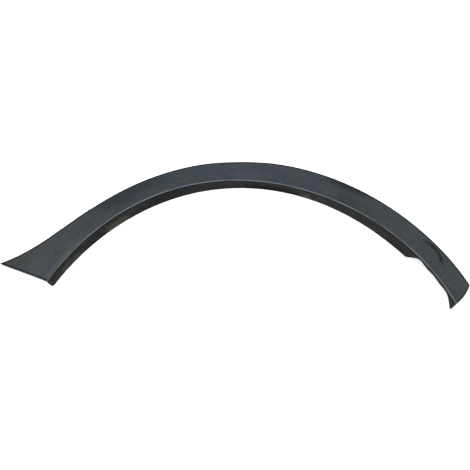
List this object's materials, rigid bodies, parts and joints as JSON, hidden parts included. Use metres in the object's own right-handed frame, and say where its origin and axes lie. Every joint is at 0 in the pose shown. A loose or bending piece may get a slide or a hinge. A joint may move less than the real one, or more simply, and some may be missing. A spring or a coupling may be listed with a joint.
{
  "type": "wheel arch trim",
  "caption": "Curved moulded cover strip for the edge of a vehicle's wheel opening, with a return flange, a flared end and push-in clips behind its face.",
  "frame": {"origin": "bottom centre of the trim's box, on the plane that its return flange rests on", "axes": "+X along the chord of the arch towards the right end, +Y towards the top of the arch, +Z out of the visible face"},
  "size_m": [0.8016, 0.2846, 0.0276],
  "materials": {
    "moulded_plastic": "dark grey, fine grained, satin",
    "clip_nylon": "natural nylon, smooth"
  },
  "bodies": {
    "root": {"arch_moulding": "moulded_plastic", "retaining_clips": "clip_nylon"}
  },
  "joints": []
}
